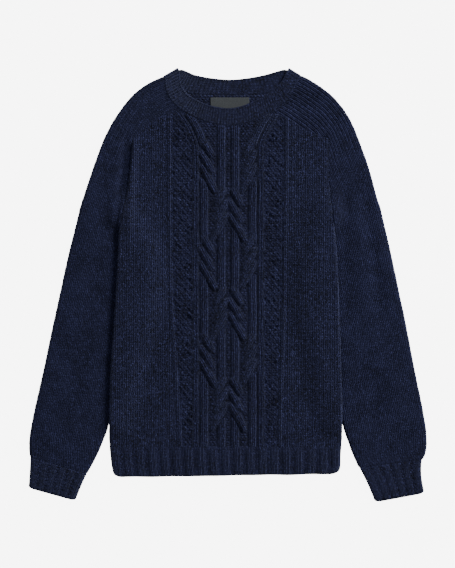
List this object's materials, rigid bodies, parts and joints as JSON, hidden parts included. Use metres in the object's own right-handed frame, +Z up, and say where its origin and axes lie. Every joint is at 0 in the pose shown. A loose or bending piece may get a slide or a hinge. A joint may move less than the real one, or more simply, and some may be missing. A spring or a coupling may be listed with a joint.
{
  "type": "cable knit sweater, laid flat",
  "caption": "Round-neck knitted pullover laid flat, with rope cables down the front, saddle sleeves and ribbed edges.",
  "frame": {"origin": "on the flat underside of the back panel, on the middle line of the body", "axes": "+Z up out of the front, +Y from the hem to the neck, +X across the body"},
  "size_m": [0.6549, 0.7142, 0.016],
  "materials": {
    "knit": "heathered navy wool, brushed",
    "rib": "navy wool rib",
    "label": "woven tape"
  },
  "bodies": {
    "root": {"front_panel": "knit", "back_panel": "knit", "sleeve_left": "knit", "sleeve_right": "knit", "neckband": "rib", "hem_rib_front": "rib", "hem_rib_back": "rib", "cuff_rib_left": "rib", "cuff_rib_right": "rib", "neck_label": "label"}
  },
  "joints": []
}
